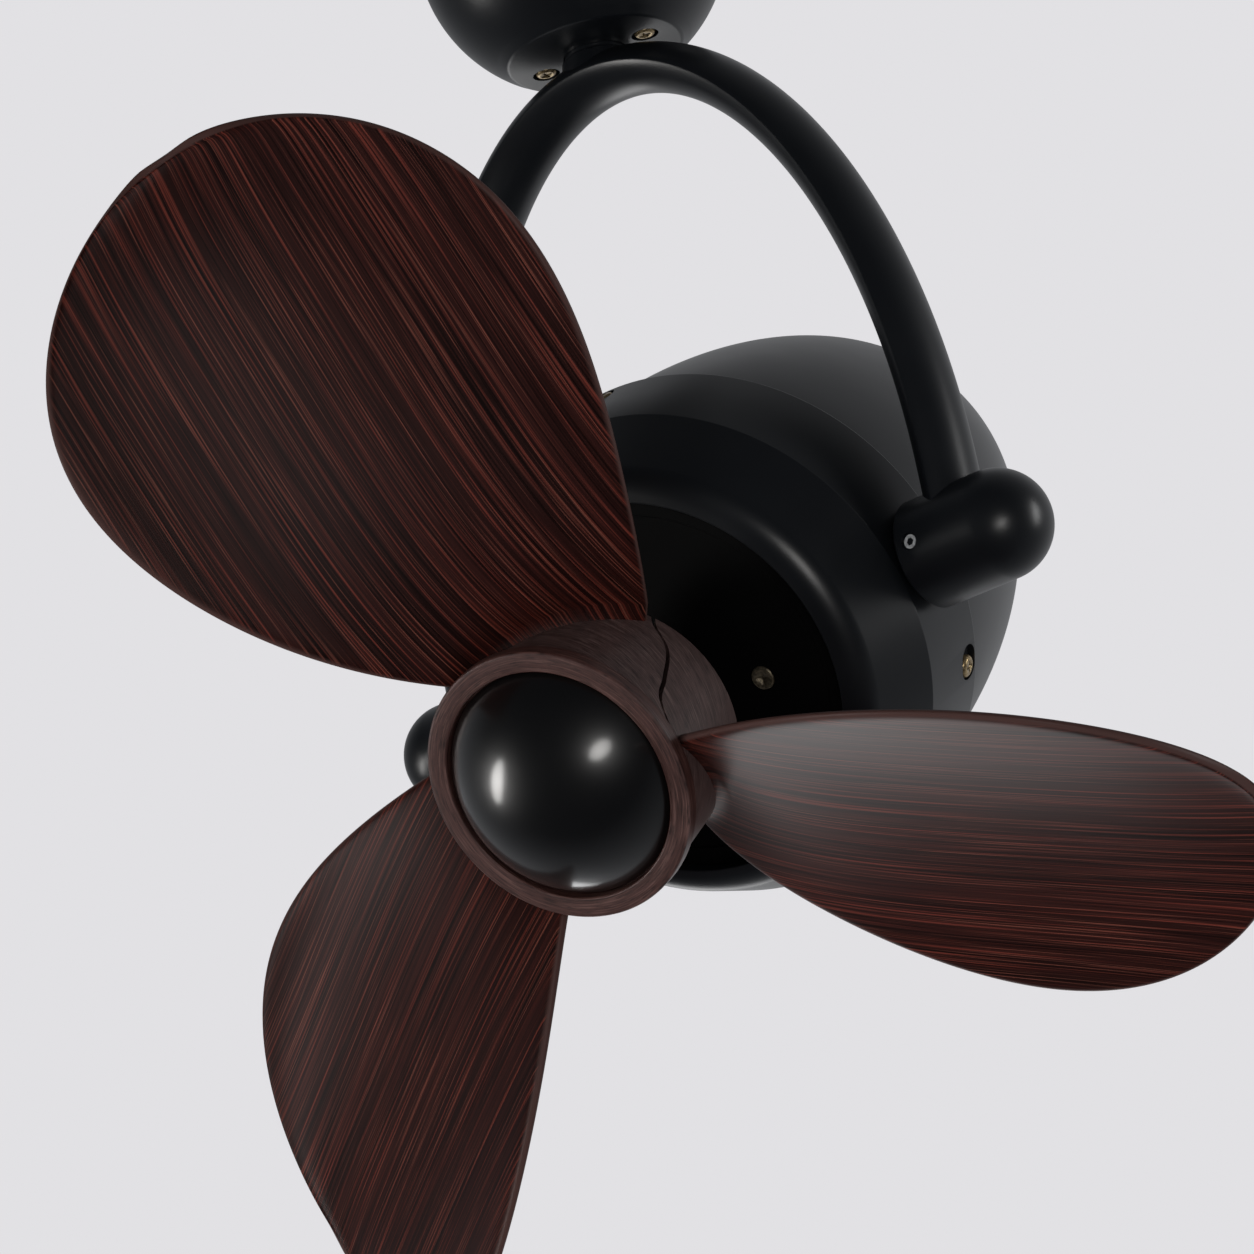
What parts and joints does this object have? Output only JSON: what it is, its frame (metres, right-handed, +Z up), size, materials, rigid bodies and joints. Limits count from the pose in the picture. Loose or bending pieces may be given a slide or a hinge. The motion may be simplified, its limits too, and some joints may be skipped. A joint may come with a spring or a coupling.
{
  "type": "wall and ceiling fan",
  "caption": "Ceiling or wall fan: egg-shaped motor head with cupped blades, tilting in an arched yoke that swivels under a ball canopy.",
  "frame": {"origin": "on the ceiling, at the middle of the mounting bracket and on the swivel axis", "axes": "+Z up out of the ceiling face, X along the tilt axis, the fan looks towards -Y and 32 degrees down at rest"},
  "size_m": [0.4549, 0.415, 0.5208],
  "materials": {
    "black_paint": "satin black paint",
    "black_plate": "matt black paint",
    "black_core": "black coated casting",
    "blade_print": "dark brown wood-grain print, satin",
    "cap_gloss": "gloss black",
    "brass_screws": "antique brass",
    "socket_screws": "dark steel",
    "zinc_steel": "zinc plated",
    "cast_aluminium": "as cast",
    "cast_holder": "black coated",
    "lamination": "stacked sheet",
    "copper_wire": "enamelled copper",
    "terminal_plastic": "moulded",
    "nylon": "natural nylon",
    "earth_green": "green lacquer",
    "capacitor_case": "moulded case"
  },
  "bodies": {
    "mount": {"mounting_bracket": "zinc_steel", "swivel_holder": "cast_holder", "bracket_screws": "brass_screws", "canopy": "black_paint", "canopy_screws": "brass_screws", "terminal_block": "terminal_plastic", "earth_screw": "earth_green", "friction_washer": "nylon"},
    "yoke": {"yoke_arm": "black_paint", "spindle": "zinc_steel", "wave_washer": "zinc_steel", "stop_washer": "zinc_steel", "spindle_nut": "zinc_steel", "knob_left": "black_paint", "knob_right": "black_paint", "knob_set_screws": "socket_screws", "arm_screws": "socket_screws"},
    "head": {"front_cover": "black_paint", "cover_screws": "brass_screws", "face_plate": "black_plate", "face_screws": "brass_screws", "rear_dome": "black_paint", "motor_frame": "cast_aluminium", "pivot_stub_left": "zinc_steel", "pivot_stub_right": "zinc_steel", "stator_core": "lamination", "stator_windings": "copper_wire", "front_bearing": "zinc_steel", "rear_bearing": "zinc_steel", "rear_shield": "cast_aluminium", "shield_screws": "zinc_steel", "run_capacitor": "capacitor_case"},
    "rotor": {"rotor_core": "lamination", "motor_shaft": "zinc_steel", "hub_core": "black_core", "hub_nut": "zinc_steel", "blade_1": "blade_print", "blade_2": "blade_print", "blade_3": "blade_print", "blade_screws": "brass_screws", "trim_ring": "blade_print", "spinner_cap": "cap_gloss"}
  },
  "joints": [
    {"name": "swivel", "type": "hinge", "parent": "mount", "child": "yoke", "pos_m": [0, 0, -0.05], "axis": [0, 0, 1], "range_deg": [-165, 165]},
    {"name": "head_tilt", "type": "hinge", "parent": "yoke", "child": "head", "pos_m": [0, 0, -0.294], "axis": [1, 0, 0], "range_deg": [-32, 58]},
    {"name": "rotor_spin", "type": "hinge", "parent": "head", "child": "rotor", "pos_m": [0, -0.00159, -0.29146], "axis": [0, -0.848, -0.5299], "continuous": true}
  ]
}
